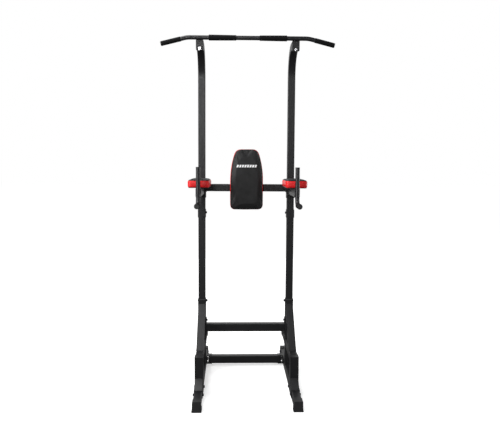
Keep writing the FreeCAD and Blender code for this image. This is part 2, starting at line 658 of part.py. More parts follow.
def back_outline(y):
    """The backrest's outline seen from the front: straight below, narrowing in a curve to the top."""
    rise = BACK_TOP - BACK_TOP_R - BACK_SHOULDER
    top_x = BACK_HALF - BACK_SIDE_R + math.sqrt((BACK_SIDE_R - BACK_TOP_R) ** 2 - rise ** 2)
    lean = math.asin(rise / (BACK_SIDE_R - BACK_TOP_R))

    def around(side, x, z, radius, angle):
        return V(side * (x + radius * math.cos(angle)), y, z + radius * math.sin(angle))

    edges = []
    for side in (1, -1):
        low = (side, BACK_HALF - BACK_LOW_CORNER, BACK_BOTTOM + BACK_LOW_CORNER, BACK_LOW_CORNER)
        curve = (side, BACK_HALF - BACK_SIDE_R, BACK_SHOULDER, BACK_SIDE_R)
        top = (side, top_x, BACK_TOP - BACK_TOP_R, BACK_TOP_R)
        edges.append(Part.LineSegment(around(*low, 0), around(*curve, 0)).toShape())
        for corner, start, end in ((low, -math.pi / 2, 0), (curve, 0, lean), (top, lean, math.pi / 2)):
            points = [around(*corner, angle) for angle in (start, (start + end) / 2, end)]
            edges.append(Part.Arc(*points).toShape())
    foot_x = BACK_HALF - BACK_LOW_CORNER
    edges.append(Part.LineSegment(V(-foot_x, y, BACK_BOTTOM), V(foot_x, y, BACK_BOTTOM)).toShape())
    edges.append(Part.LineSegment(V(-top_x, y, BACK_TOP), V(top_x, y, BACK_TOP)).toShape())
    return Part.Wire(Part.__sortEdges__(edges))


def make_backrest():
    pad = Part.Face(back_outline(BACK_FRONT_Y)).extrude(V(0, BACK_THICK, 0))
    front_edges = [e for e in pad.Edges if e.CenterOfMass.y < BACK_FRONT_Y + 0.01]
    save("backrest_pad", pad.makeFillet(BACK_EDGE_R, front_edges))
    inset = back_outline(BACK_REAR).makeOffset2D(-BACK_BOARD_INSET)
    board = Part.Face(inset).extrude(V(0, BACK_BOARD, 0))
    plate_z = (BACK_MOUNT_BOTTOM, BACK_MOUNT_TOP)
    mount_face = BOARD_REAR + PLATE
    plate = block((-BACK_MOUNT_HALF, BACK_MOUNT_HALF), (BOARD_REAR, mount_face), plate_z, 8.0, "y")
    bar_face = POST_Y - CROSSBAR / 2
    rib_z = (ARM_BAR_BOTTOM, ARM_BAR_BOTTOM + CROSSBAR)
    ribs = [block(span(side * BACK_RIB_X, PLATE), (mount_face, bar_face), rib_z) for side in (-1, 1)]
    mount = plate.fuse(ribs).removeSplitter()
    screws = []
    for x in (-BACK_SCREW_X, BACK_SCREW_X):
        for z in BACK_SCREWS_Z:
            seat = V(x, mount_face, z)
            mount = drilled(mount, seat + V(0, 1, 0), seat - V(0, PLATE + 1, 0), SCREW_R)
            board = drilled(board, seat, seat - V(0, PLATE + BACK_BOARD + 1, 0), SCREW_R)
            screws.append(screw(seat, V(0, 1, 0), PLATE + BACK_BOARD))
    save("backrest_board", board)
    save("backrest_bracket", mount)
    save("backrest_screws", *screws)


def bar_points(inset=0.0):
    """The bar's route: level in the middle and drooping at both ends."""
    slope = BAR_DROP / (BAR_END_X - BAR_BEND_X)
    end_x = BAR_END_X - inset
    end_z = BAR_Z - slope * (end_x - BAR_BEND_X)
    return [V(-end_x, BAR_Y, end_z), V(-BAR_BEND_X, BAR_Y, BAR_Z), V(BAR_BEND_X, BAR_Y, BAR_Z),
            V(end_x, BAR_Y, end_z)]


def make_pull_up_bar():
    points = bar_points()
    outer = bent_rod(points, BAR_BEND_R, HANDLE_R)
    save("pull_up_bar", outer.cut(bent_rod(points, BAR_BEND_R, HANDLE_R - HANDLE_WALL)))
    face_y = NECK_END_Y - PLATE - BAR_PLATE
    plate_y = (face_y, NECK_END_Y - PLATE)
    plate = block(span(-SIDE_X, NECK_PLATE_W), plate_y, (NECK_PLATE_BOTTOM, BAR_Z - 1), BAR_PLATE_CORNER, "y")
    square_top = block(span(-SIDE_X, NECK_PLATE_W), plate_y, (NECK_Z, BAR_Z - 1))
    plate = plate.fuse(square_top).removeSplitter().cut(outer)
    seat = V(-SIDE_X, face_y, BAR_BOLT_Z)
    plate = drilled(plate, seat - V(0, 1, 0), seat + V(0, BAR_PLATE + 1, 0), BOLT_R)
    save_both("bar_brackets", plate)
    save_both("bar_bolts", bolt(seat, V(0, -1, 0), BAR_PLATE + PLATE))
    centre_grip = pipe(V(-CENTRE_GRIP_OUT, BAR_Y, BAR_Z), V(-CENTRE_GRIP_IN, BAR_Y, BAR_Z),
                       CENTRE_GRIP_R, HANDLE_R)
    save_both("centre_grips", centre_grip)
    along = (points[1] - points[0]).normalize()
    end_grip = pipe(points[0], points[0] + along * END_GRIP_LENGTH, END_GRIP_R, HANDLE_R)
    save_both("end_grips", end_grip)
    save_both("bar_plugs", plug(points[0], -along))


make_floor_tube()
make_foot_caps()
make_main_post()
make_sleeve_bushes()
make_lock_screws()
make_front_post()
make_rails()
make_brace()
make_shoe()
make_front_crossbar()
make_rear_crossbar()
make_lower_upright()
make_coupling()
make_upper_upright()
make_arm_crossbar()
make_arm_bracket()
make_arm()
make_arm_pads()
make_backrest()
make_pull_up_bar()

os.makedirs("parts", exist_ok=True)
for name, shape in PARTS.items():
    shape.exportStep("parts/" + name + ".step")
    solids = len(shape.Solids)
    print(name, solids, "valid" if shape.isValid() else "INVALID", round(shape.Volume / 1000, 1), "cm3")
print(len(PARTS), "sub-parts")
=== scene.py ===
import json
import math

import bmesh
import bpy
from mathutils import Matrix, Vector, noise
from mathutils.bvhtree import BVHTree


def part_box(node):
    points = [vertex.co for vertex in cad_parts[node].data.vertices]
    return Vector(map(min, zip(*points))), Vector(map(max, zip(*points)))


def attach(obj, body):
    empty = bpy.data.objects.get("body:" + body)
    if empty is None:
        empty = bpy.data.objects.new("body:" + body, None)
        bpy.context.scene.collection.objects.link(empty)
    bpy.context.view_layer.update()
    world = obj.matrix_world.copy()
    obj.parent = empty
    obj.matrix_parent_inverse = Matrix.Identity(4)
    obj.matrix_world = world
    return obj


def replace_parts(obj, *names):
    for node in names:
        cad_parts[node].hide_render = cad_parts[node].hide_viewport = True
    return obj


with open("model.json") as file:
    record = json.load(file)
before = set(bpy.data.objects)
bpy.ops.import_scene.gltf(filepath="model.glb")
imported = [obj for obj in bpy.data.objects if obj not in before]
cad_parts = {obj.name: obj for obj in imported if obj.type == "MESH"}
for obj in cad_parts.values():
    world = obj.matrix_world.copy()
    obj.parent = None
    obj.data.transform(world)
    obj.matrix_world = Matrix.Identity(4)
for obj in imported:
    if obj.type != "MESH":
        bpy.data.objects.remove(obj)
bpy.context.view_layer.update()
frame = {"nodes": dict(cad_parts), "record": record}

# The looks of a power tower, in metres, +Z up, with the user's side at -Y. The steel, plastic and
# fasteners are the CAD parts with procedural finishes; the cushions, grips, welds and trim are made here.

MM = 0.001
X = Vector((1, 0, 0))
Y = Vector((0, 1, 0))
Z = Vector((0, 0, 1))
SIDES = (("left", -1), ("right", 1))

# Camera: where the photographer stood, and how the camera was held
CAMERA_PLACE = Vector((-0.0841, -3.5984, 1.3583))
CAMERA_YAW = 1.675          # degrees towards +X
CAMERA_PITCH = 5.015        # degrees down
CAMERA_ROLL = 0.331
CAMERA_LENS = 42.59
SENSOR = 36.0

# Studio
WHITE = (1.0, 1.0, 1.0, 1.0)
FLOOR_COLOUR = (0.9, 0.9, 0.9)
FLOOR_PATCH = (0.93, 0.93, 0.93)
FLOOR_ROUGH = 0.9
FLOOR_SPECULAR = 0.1
FLOOR_SIZE = 60.0
FLOOR_CELLS = 8
FLOOR_NEAR = 1.2            # the floor glows less within this distance, so that shadows show
FLOOR_FAR = 3.6
FLOOR_NEAR_GLOW = 0.52
FLOOR_FAR_GLOW = 0.84       # keeps the pale floor as light as the backdrop far from the lamps
ROOM_LIGHT = 0.18
BACKDROP_WHITE = 1.0
# Each lamp's name, place, aim, width and height in metres, and power in watts
LAMPS = (
    ("key", (-3.2, -2.3, 2.1), (0.0, 0.0, 1.1), (1.8, 3.0), 130),
    ("fill", (3.4, -2.2, 1.8), (0.0, 0.0, 1.0), (1.2, 2.4), 16),
    ("overhead", (-1.5, -0.2, 4.0), (0.0, 0.0, 0.4), (3.0, 3.0), 120),
    ("softbox", (-0.62, -5.2, 2.5), (-0.278, 0.1, 1.8), (0.6, 2.1), 60),
    ("side", (3.8, 1.3, 1.8), (0.0, 0.0, 1.0), (1.4, 2.6), 70),
    ("backdrop", (0.0, 4.5, 1.6), (0.0, 0.0, 1.2), (7.0, 3.2), 40),
)

# Finishes
NOISE_SPAN = (0.3, 0.7)     # most of a noise texture's values
FULL = (0.0, 1.0)
EDGE_COSINES = (0.98, 0.75)  # cosine of the rounded normal's lean where wear starts, and where it is full
EDGE_WEAR = (0.0, 0.55)     # how much of the lighter colour shows there
EDGE_SAMPLES = 4
PAINT_SPECULAR = 0.4
RUBBER_SPECULAR = 0.08
VINYL_SPECULAR = 0.32
PAINT_EDGE = 0.9 * MM       # how far from an edge the paint is rounded and worn, and its colour there
PAINT_WORN = (0.085, 0.085, 0.09)
PLASTIC_EDGE = 0.7 * MM
PLASTIC_WORN = (0.07, 0.07, 0.075)
# Each slot's darker and lighter colour, and its range of roughness
PAINTS = {
    "frame_paint": ((0.006, 0.006, 0.0068), (0.0095, 0.0095, 0.0107), (0.34, 0.44)),
    "tube_paint": ((0.009, 0.009, 0.0105), (0.014, 0.014, 0.016), (0.26, 0.36)),
}
PLASTICS = {
    "cap_plastic": ((0.009, 0.009, 0.0095), (0.014, 0.014, 0.015), (0.44, 0.6)),
    "bush_plastic": ((0.03, 0.03, 0.033), (0.045, 0.045, 0.048), (0.44, 0.6)),
}
RUBBER = ((0.004, 0.004, 0.0044), (0.009, 0.009, 0.0096), (0.62, 0.82))
WOOD = ((0.018, 0.017, 0.016), (0.045, 0.04, 0.036), (0.6, 0.8))
# Each slot's bright and dull colour, range of roughness, metallic share and depth of turning marks
METALS = {
    "black_fastener": ((0.045, 0.045, 0.05), (0.025, 0.025, 0.03), (0.32, 0.5), 0.6, 0.04 * MM),
    "zinc_fastener": ((0.86, 0.87, 0.9), (0.68, 0.68, 0.7), (0.2, 0.38), 1.0, 0.03 * MM),
    "bare_steel": ((0.5, 0.5, 0.52), (0.38, 0.38, 0.39), (0.3, 0.5), 1.0, 0.05 * MM),
}
# Each slot's darker and lighter colour, range of roughness, and its pebbles' count to the metre and depth
VINYLS = {
    "pad_black": ((0.007, 0.007, 0.0075), (0.013, 0.013, 0.0136), (0.4, 0.52), 720, 0.13 * MM),
    "pad_red": ((0.62, 0.008, 0.01), (0.78, 0.018, 0.02), (0.3, 0.42), 900, 0.07 * MM),
}
PEBBLE_EDGE = (0.0, 0.25)   # the grooves between the pebbles, as a range of the distance to a pebble's edge
THREAD = ((0.02, 0.02, 0.02), (0.05, 0.05, 0.05))
THREAD_ROUGH = 0.6
INK = ((0.84, 0.84, 0.85), (0.95, 0.95, 0.95))
INK_ROUGH = 0.5
INK_SPAN = (0.35, 0.65)     # a narrower span than NOISE_SPAN, for patches with clearer edges
SHARP = 40.0                # angles in degrees above which an edge is shaded sharp
CUSHION_SHARP = 60.0
BEAD_SHARP = 70.0

# Forms
OUTLINE_POINTS = 160
ARC_STEPS = 12
CORNER_STEPS = 8
TURNED_SIDES = 64
TUBE_SIDES = 8
FINE_SIDES = 6              # for stitches, staples and weld beads
RAY_START = 50 * MM         # how far outside a cushion a ray at its cover starts

# Cushions
VOXEL = 5 * MM
SMOOTH_ROUNDS = 3
SMOOTH_SHARE = 0.5
CLOTH_FRAMES = 20
CLOTH_PRESSURE = 4.0
CLOTH_QUALITY = 5
CLOTH_MASS = 0.3
CLOTH_STIFFNESS = 18
CLOTH_SHEAR = 8
CLOTH_BENDING = 1.0
ARM_PAD_SWELL = 4.5 * MM    # the most that the simulation may move the cover
BACKREST_SWELL = 6 * MM
VINYL = 1.2 * MM
SEAM_REACH = 4.5 * MM       # how far a seam draws the cover in on each side
SEAM_DEPTH = 1.3 * MM
REAR_HOLD = 1.8 * MM        # what the simulation holds still: the flat rear, and the seam of the face
SEAM_HOLD = 2.6 * MM
CUT_TOLERANCE = 1e-6        # a corner this near to a seam's plane counts as on it
PUCKER = 0.5 * MM           # creases beside the seams, and how many there are to the metre
PUCKER_SCALE = 160
PUCKER_REACH = 3 * SEAM_REACH
SLACK = 0.8 * MM            # slow waves all over the cover
SLACK_SCALE = 17
PAD_CORNER = 22 * MM
PAD_BAND_TOP = 42 * MM      # height of the arm pads' upper seam above their underside
PAD_BAND_FOOT = 2.5 * MM
BACK_SEAM = 17 * MM         # depth of the backrest's front seam behind its face
BACK_REAR_SEAM = 47 * MM
BACK_SHOULDER = 1.245       # the backrest's sides are straight up to this height
BACK_SIDE_R = 515 * MM
BACK_TOP_R = 40 * MM
BACK_LOW_CORNER = 28 * MM
# How far each ring of a cushion is drawn in (mm), and its share of the thickness
ARM_PAD_PROFILE = ((3.0, 0.0), (1.6, 0.03), (1.0, 0.1), (0.5, 0.35), (0.5, 0.6), (0.8, 0.78), (2.2, 0.88),
                   (6.5, 0.95), (16.0, 0.99))
BACKREST_PROFILE = ((22.0, 0.02), (11.0, 0.04), (6.0, 0.09), (3.6, 0.15), (2.0, 0.3), (0.8, 0.5),
                    (0.8, 0.74), (2.5, 0.88), (5.0, 0.97), (7.0, 1.0))

PIPING_R = 1.5 * MM
PIPING_STEP = 2.5 * MM
STITCH = 3.4 * MM
STITCH_GAP = 1.5 * MM
STITCH_R = 0.42 * MM
STITCH_INSET = 6.5 * MM
# A stitch's points: share of its length, and height in thread radii
STITCH_ARCH = ((-0.5, -0.35), (-0.3, 0.5), (0.0, 0.75), (0.3, 0.5), (0.5, -0.35))

# Mark, folded margin and staples on the backrest
MARK_BARS = 8
MARK_Z = 1.331
MARK_PITCH = 15.6 * MM
MARK_BAR_W = 11.0 * MM
MARK_BAR_H = 15.0 * MM
MARK_SLANT = 4.5 * MM
MARK_RAISED = 0.35 * MM
MARK_CELLS = 6
# The margin's rings (mm): drawn in by, behind the cushion or the board by, depth of the folds
WRAP_SIDE = ((4.6, -0.3, 0.0), (4.8, 2.0, 0.1))
WRAP_REAR = ((4.8, -1.2, 0.2), (6.4, 0.5, 0.3), (12.0, 0.6, 0.7), (18.0, 0.5, 0.9), (25.0, 0.4, 1.3))
WRAP_FOLD_SCALE = 55
WRAP_THICK = 0.7 * MM
STAPLES = 34
STAPLE_INSET = 17.5 * MM
STAPLE_W = 10 * MM
STAPLE_R = 0.5 * MM
STAPLE_CROWN = 2.4 * MM     # how far the crown stands behind the board
STAPLE_LEAN = 0.4           # how much noise turns a staple, and the noise's steps from one to the next
STAPLE_LEAN_STEPS = (1.7, 2.3)
# A staple's points: share of its width, and depth below the crown (mm)
STAPLE_SHAPE = ((-0.5, 2.6), (-0.5, 0.4), (-0.42, 0.0), (0.42, 0.0), (0.5, 0.4), (0.5, 2.6))
LOW_EDGE = 30 * MM          # staples within this height of the backrest's lower edge lie across

# Grips
BAR_R = 12.5 * MM
BAR_END = Vector((0.497, -0.128, 2.028))
BAR_BEND = Vector((0.349, -0.128, 2.065))
CENTRE_GRIP_LENGTH = 158 * MM
CENTRE_GRIP_FLARE = 0.9 * MM    # a centre grip is wider at its outer end, and narrower at its inner end
CENTRE_GRIP_TAPER = 0.6 * MM
CENTRE_GRIP_BEAD = 0.4 * MM
END_GRIP_LENGTH = 115 * MM
END_GRIP_R = 13.9 * MM
END_GRIP_BEAD = 0.3 * MM
DIP_GRIP_R = 15.0 * MM
DIP_GRIP_BEAD = 0.4 * MM
GRIP_STEPS = 90
GRIP_MOUTH = 2.2 * MM
BEAD_PLACE = 4 * MM         # from the grip's mouth to the middle of its bead
BEAD_REACH = 2.2 * MM
RINGS_END = 26 * MM         # how far from its mouth a grip has shallow rings
RING_DEPTH = 0.35 * MM
RING_PITCH = 6 * MM

# Welds
WELD_R = 2.0 * MM
WELD_STEP = 1.0 * MM
WELD_RIPPLE = 3.2 * MM
WELD_SWELL = 0.14           # how much of the bead's radius comes and goes with its ripples
WELD_LEAST = 4              # points in the shortest bead
TUBE_CORNER = 4 * MM
BRACE_CORNER = 1 * MM
HANGER_W = 40 * MM
RIB_X = 32 * MM
RIB_HALF = 2 * MM


# ---------------------------------------------------------------- finishes

class Finish:
    """A procedural material on the principled shader, patterned in object space, in metres."""

    def __init__(self, slot, colour, roughness, metallic=0.0, specular=0.5):
        self.material = bpy.data.materials.new(slot)
        self.material.use_nodes = True
        self.tree = self.material.node_tree
        self.shader = self.tree.nodes["Principled BSDF"]
        self.shader.inputs["Base Color"].default_value = (*colour, 1.0)
        self.shader.inputs["Roughness"].default_value = roughness
        self.shader.inputs["Metallic"].default_value = metallic
        self.shader.inputs["Specular IOR Level"].default_value = specular
        self.coords = self.tree.nodes.new("ShaderNodeTexCoord").outputs["Object"]
        self.normal = None

    def join(self, output, target):
        self.tree.links.new(output, target)

    def stretched(self, scale):
        """Object space scaled along each axis, for grain, turning marks and twist."""
        mapping = self.tree.nodes.new("ShaderNodeMapping")
        mapping.inputs["Scale"].default_value = scale
        self.join(self.coords, mapping.inputs["Vector"])
        return mapping.outputs["Vector"]

    def speckle(self, scale, detail=2.0, space=None):
        """Soft noise with this many features to the metre."""
        node = self.tree.nodes.new("ShaderNodeTexNoise")
        node.inputs["Scale"].default_value = scale
        node.inputs["Detail"].default_value = detail
        self.join(space or self.coords, node.inputs["Vector"])
        return node.outputs["Fac"]

    def cells(self, scale, feature="DISTANCE_TO_EDGE"):
        """Leather-like cells with this many to the metre."""
        node = self.tree.nodes.new("ShaderNodeTexVoronoi")
        node.feature = feature
        node.inputs["Scale"].default_value = scale
        self.join(self.coords, node.inputs["Vector"])
        return node.outputs["Distance"]

    def ranged(self, value, from_range, to_range=FULL):
        node = self.tree.nodes.new("ShaderNodeMapRange")
        node.inputs["From Min"].default_value = from_range[0]
        node.inputs["From Max"].default_value = from_range[1]
        node.inputs["To Min"].default_value = to_range[0]
        node.inputs["To Max"].default_value = to_range[1]
        self.join(value, node.inputs["Value"])
        return node.outputs["Result"]

    def tint(self, factor, dark, light):
        """Blends two colours by a factor from 0 to 1. Where dark is None, the colour so far is used."""
        node = self.tree.nodes.new("ShaderNodeMix")
        node.data_type = "RGBA"
        mix_factor = node.inputs[0]
        first_colour = node.inputs[6]
        second_colour = node.inputs[7]
        mixed_colour = node.outputs[2]
        colour = self.shader.inputs["Base Color"]
        if dark is None:
            self.join(colour.links[0].from_socket, first_colour)
        else:
            first_colour.default_value = (*dark, 1.0)
        second_colour.default_value = (*light, 1.0)
        self.join(factor, mix_factor)
        self.join(mixed_colour, colour)

    def gloss(self, noise_value, roughness):
        """Lets the roughness wander between two values with a noise."""
        self.join(self.ranged(noise_value, NOISE_SPAN, roughness), self.shader.inputs["Roughness"])

    def relief(self, height, depth):
        """Adds a bump of this depth in metres on top of the earlier ones."""
        node = self.tree.nodes.new("ShaderNodeBump")
        node.inputs["Distance"].default_value = depth
        node.inputs["Strength"].default_value = 1.0
        self.join(height, node.inputs["Height"])
        if self.normal is not None:
            self.join(self.normal, node.inputs["Normal"])
        self.normal = node.outputs["Normal"]
        self.join(self.normal, self.shader.inputs["Normal"])

    def worn_edges(self, radius, colour):
        """Rounds sharp edges in the shading and rubs them to a lighter colour."""
        bevel = self.tree.nodes.new("ShaderNodeBevel")
        bevel.samples = EDGE_SAMPLES
        bevel.inputs["Radius"].default_value = radius
        flat = self.tree.nodes.new("ShaderNodeNewGeometry")
        dot = self.tree.nodes.new("ShaderNodeVectorMath")
        dot.operation = "DOT_PRODUCT"
        self.join(bevel.outputs["Normal"], dot.inputs[0])
        self.join(flat.outputs["Normal"], dot.inputs[1])
        edge = self.ranged(dot.outputs["Value"], EDGE_COSINES, EDGE_WEAR)
        self.tint(edge, None, colour)
        self.normal = bevel.outputs["Normal"]


def powder_coat(slot, dark, light, rough):
    finish = Finish(slot, dark, rough[0], specular=PAINT_SPECULAR)
    finish.tint(finish.speckle(28, detail=4), dark, light)
    finish.worn_edges(PAINT_EDGE, PAINT_WORN)
    finish.relief(finish.speckle(240, detail=1), 0.06 * MM)
    finish.relief(finish.speckle(900, detail=3), 0.08 * MM)
    finish.gloss(finish.speckle(60, detail=3), rough)
    return finish.material


def moulded_plastic(slot, dark, light, rough):
    finish = Finish(slot, dark, rough[0])
    finish.tint(finish.speckle(45, detail=3), dark, light)
    finish.worn_edges(PLASTIC_EDGE, PLASTIC_WORN)
    finish.relief(finish.cells(1500, feature="F1"), 0.05 * MM)
    finish.gloss(finish.speckle(90, detail=3), rough)
    return finish.material


def foam_rubber(slot, dark, light, rough):
    finish = Finish(slot, dark, rough[0], specular=RUBBER_SPECULAR)
    finish.tint(finish.speckle(140, detail=4), dark, light)
    finish.relief(finish.speckle(90), 0.12 * MM)
    finish.relief(finish.cells(1100, feature="F1"), 0.16 * MM)
    finish.gloss(finish.speckle(70), rough)
    return finish.material


def plated(slot, bright, dull, rough, metallic, depth):
    """Zinc, black oxide or mill steel: a faint crystal pattern and turning marks."""
    finish = Finish(slot, bright, rough[0], metallic=metallic)
    finish.tint(finish.cells(420, feature="F1"), bright, dull)
    turning_marks = finish.speckle(700, space=finish.stretched((1, 6, 1)))
    finish.relief(turning_marks, depth)
    finish.gloss(finish.speckle(160, detail=4), rough)
    return finish.material


def plywood(slot, dark, light, rough):
    finish = Finish(slot, dark, rough[0])
    grain = finish.speckle(70, detail=5, space=finish.stretched((6, 6, 1)))
    finish.tint(finish.ranged(grain, NOISE_SPAN), dark, light)
    finish.relief(grain, 0.1 * MM)
    finish.gloss(grain, rough)
    return finish.material


def vinyl(slot, dark, light, rough, pebbles, depth):
    """Upholstery vinyl: pebbled cells, finer pores, slow changes of tone and gloss."""
    finish = Finish(slot, dark, rough[0], specular=VINYL_SPECULAR)
    finish.tint(finish.ranged(finish.speckle(22, detail=4), NOISE_SPAN), dark, light)
    finish.relief(finish.ranged(finish.cells(pebbles), PEBBLE_EDGE), depth)
    finish.relief(finish.speckle(pebbles * 2.4), depth * 0.5)
    finish.gloss(finish.speckle(35, detail=3), rough)
    return finish.material


def sewing_thread(slot, dark, light):
    finish = Finish(slot, dark, THREAD_ROUGH)
    twist = finish.speckle(1400, detail=1, space=finish.stretched((1, 3, 1)))
    finish.tint(twist, dark, light)
    finish.relief(twist, 0.1 * MM)
    return finish.material


def printed_ink(slot, dull, bright):
    finish = Finish(slot, bright, INK_ROUGH)
    patchy = finish.ranged(finish.speckle(350, detail=4), INK_SPAN)
    finish.tint(patchy, dull, bright)
    finish.relief(finish.cells(950), 0.05 * MM)
    return finish.material


def make_finishes():
    finishes = {slot: powder_coat(slot, *values) for slot, values in PAINTS.items()}
    finishes.update({slot: moulded_plastic(slot, *values) for slot, values in PLASTICS.items()})
    finishes["grip_rubber"] = foam_rubber("grip_rubber", *RUBBER)
    finishes.update({slot: plated(slot, *values) for slot, values in METALS.items()})
    finishes["board_wood"] = plywood("board_wood", *WOOD)
    finishes.update({slot: vinyl(slot, *values) for slot, values in VINYLS.items()})
    finishes["thread"] = sewing_thread("thread", *THREAD)
    finishes["print_pale"] = printed_ink("print_pale", *INK)
    return finishes


def finish_cad_parts():
    """Gives every CAD part the finish of its slot in the record."""
    for part in frame["record"]["subparts"]:
        node = frame["nodes"][part["node"]]
        node.data.materials.clear()
        node.data.materials.append(FINISHES[part["material_slot"]])


# ---------------------------------------------------------------- mesh tools

def as_data(name, mesh):
    """Turns a bmesh into mesh data and frees it."""
    data = bpy.data.meshes.new(name)
    mesh.to_mesh(data)
    mesh.free()
    return data


def placed(name, data):
    """A new object in the scene with this data."""
    made = bpy.data.objects.new(name, data)
    bpy.context.scene.collection.objects.link(made)
    return made


def piece(name, mesh, body, slot, sharp=SHARP):
    """Turns a bmesh into an object with its finish that rides on a body."""
    bmesh.ops.recalc_face_normals(mesh, faces=mesh.faces)
    data = as_data(name, mesh)
    data.shade_smooth()
    data.set_sharp_from_angle(angle=math.radians(sharp))
    data.materials.append(FINISHES[slot])
    made = placed(name, data)
    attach(made, body)
    return made


def resampled(points, count, closed=True):
    """The same line with its points evenly spaced."""
    line = points + points[:1] if closed else points
    lengths = [(b - a).length for a, b in zip(line, line[1:])]
    total = sum(lengths)
    parts = count if closed else count - 1
    result = []
    index = 0
    passed = 0.0
    for k in range(count):
        wanted = total * k / parts
        while index < len(lengths) - 1 and passed + lengths[index] < wanted:
            passed += lengths[index]
            index += 1
        share = (wanted - passed) / lengths[index] if lengths[index] else 0.0
        result.append(line[index].lerp(line[index + 1], min(share, 1.0)))
    return result


def length_of(points, closed=True):
    """The length of a line through the points."""
    line = points + points[:1] if closed else points
    return sum((b - a).length for a, b in zip(line, line[1:]))


def circle_directions(a, b, count):
    """Directions evenly round a circle in the plane of a and b."""
    angles = [2 * math.pi * k / count for k in range(count)]
    return [a * math.cos(angle) + b * math.sin(angle) for angle in angles]


def add_wall(mesh, rings, closed=False):
    """Joins each ring of corners to the next with faces, and if closed also the last to the first."""
    following = rings[1:] + (rings[:1] if closed else [])
    for ring, next_ring in zip(rings, following):
        for k in range(len(ring)):
            mesh.faces.new((ring[k - 1], ring[k], next_ring[k], next_ring[k - 1]))


def add_tube(mesh, points, radius, sides=TUBE_SIDES, closed=False):
    """Adds a round tube along the points. The radius is a number or a function of the length passed."""
    rings = []
    passed = 0.0
    side = None
    count = len(points)
    for index, point in enumerate(points):
        before = points[index - 1] if closed or index else point
        after = points[(index + 1) % count] if closed or index < count - 1 else point
        along = (after - before).normalized()
        if side is None:
            side = along.orthogonal().normalized()
        side = (side - along * side.dot(along)).normalized()
        other = along.cross(side)
        if index:
            passed += (point - points[index - 1]).length
        size = radius(passed) if callable(radius) else radius
        rings.append([mesh.verts.new(point + out * size) for out in circle_directions(side, other, sides)])
    add_wall(mesh, rings, closed)
    if not closed:
        mesh.faces.new(rings[0])
        mesh.faces.new(rings[-1])


def loft(rings):
    """A closed form through rings of as many points each, capped at both ends."""
    mesh = bmesh.new()
    made = [[mesh.verts.new(point) for point in ring] for ring in rings]
    add_wall(mesh, made)
    mesh.faces.new(made[0])
    mesh.faces.new(made[-1])
    bmesh.ops.recalc_face_normals(mesh, faces=mesh.faces)
    return mesh


def add_turned(mesh, start, axis, profile):
    """Adds a ring turned about an axis: the profile is a closed line of (distance along, radius)."""
    side = axis.orthogonal().normalized()
    other = axis.cross(side)
    rings = []
    for out in circle_directions(side, other, TURNED_SIDES):
        rings.append([mesh.verts.new(start + axis * along + out * radius) for along, radius in profile])
    add_wall(mesh, rings, closed=True)


def rounded_rectangle(centre, a, b, half_a, half_b, corner):
    """Points round a rectangle with round corners, in the plane of the directions a and b."""
    points = []
    for turn, (side_a, side_b) in enumerate(((1, 1), (-1, 1), (-1, -1), (1, -1))):
        middle = centre + a * (side_a * (half_a - corner)) + b * (side_b * (half_b - corner))
        for k in range(CORNER_STEPS + 1):
            angle = math.radians(90 * (turn + k / CORNER_STEPS))
            points.append(middle + (a * math.cos(angle) + b * math.sin(angle)) * corner)
    return points


# ---------------------------------------------------------------- cushions

def back_outline(half, low, high, inset):
    """The backrest's outline seen from the front, drawn in all round by an inset."""
    rise = high - BACK_TOP_R - BACK_SHOULDER
    top_x = half - BACK_SIDE_R + math.sqrt((BACK_SIDE_R - BACK_TOP_R) ** 2 - rise ** 2)
    lean = math.asin(rise / (BACK_SIDE_R - BACK_TOP_R))
    arcs = (
        (half - BACK_LOW_CORNER, low + BACK_LOW_CORNER, BACK_LOW_CORNER, -math.pi / 2, 0.0),
        (half - BACK_SIDE_R, BACK_SHOULDER, BACK_SIDE_R, 0.0, lean),
        (top_x, high - BACK_TOP_R, BACK_TOP_R, lean, math.pi / 2),
    )
    right = []
    for x, z, radius, start, end in arcs:
        for k in range(ARC_STEPS + 1):
            angle = start + (end - start) * k / ARC_STEPS
            reach = radius - inset
            right.append(Vector((x + reach * math.cos(angle), 0, z + reach * math.sin(angle))))
    left = [Vector((-point.x, 0, point.z)) for point in reversed(right)]
    return resampled(right + left, OUTLINE_POINTS)


def applied(made, make_modifier):
    """Bakes a modifier into the object's mesh."""
    make_modifier()
    shown = made.evaluated_get(bpy.context.evaluated_depsgraph_get())
    data = bpy.data.meshes.new_from_object(shown)
    made.modifiers.clear()
    old = made.data
    made.data = data
    bpy.data.meshes.remove(old)


def remeshed(made):
    """Gives the form an even mesh, slightly smoothed."""
    def make():
        modifier = made.modifiers.new("remesh", "REMESH")
        modifier.mode = "VOXEL"
        modifier.voxel_size = VOXEL
    applied(made, make)
    mesh = bmesh.new()
    mesh.from_mesh(made.data)
    for _ in range(SMOOTH_ROUNDS):
        bmesh.ops.smooth_vert(mesh, verts=mesh.verts, factor=SMOOTH_SHARE, use_axis_x=True, use_axis_y=True,
                              use_axis_z=True)
    mesh.to_mesh(made.data)
    mesh.free()


